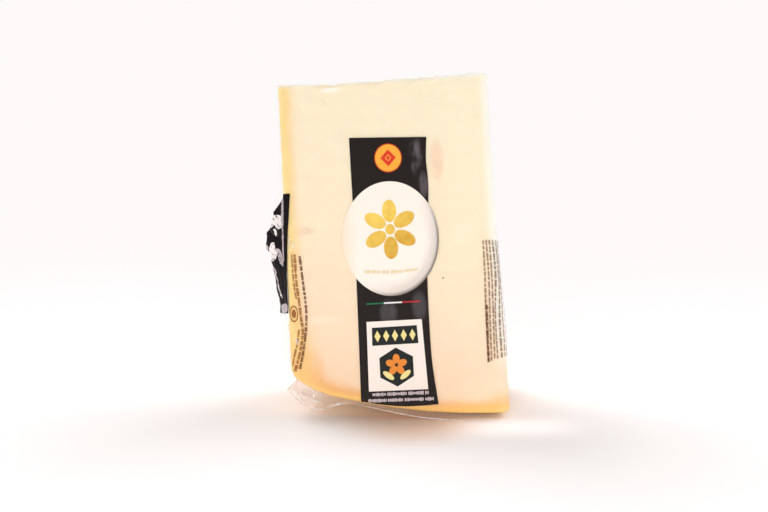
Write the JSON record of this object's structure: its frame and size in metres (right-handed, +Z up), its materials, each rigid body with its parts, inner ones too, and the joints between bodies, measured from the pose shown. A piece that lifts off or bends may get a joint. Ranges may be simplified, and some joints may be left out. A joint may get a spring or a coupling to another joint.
{
  "type": "parmesan chunk",
  "caption": "Half-height wedge of hard cheese with its rind, standing on the rind in a clear shrink bag with a black printed band, a white disc and a crumpled side label.",
  "frame": {"origin": "on the floor, under the middle of the bounding box", "axes": "+Z up; -Y is the side that the labelled cut face looks to; -X is the side of the wheel's flat rind face"},
  "size_m": [0.1362, 0.081, 0.1885],
  "materials": {
    "cheese": "dense pale straw paste, deeper yellow towards the rind",
    "film": "clear shrunk film with fine wrinkles",
    "print_black": "warm black print under gloss film",
    "print_white": "white print under gloss film, shaded grey at the lower right rim",
    "print_gold": "golden yellow print",
    "print_colour": "orange, red and green print",
    "print_text": "brown print on clear film"
  },
  "bodies": {
    "root": {"sealed_bag": "cheese", "label_band": "print_black", "label_disc": "print_white", "side_label": "print_black"}
  },
  "joints": []
}
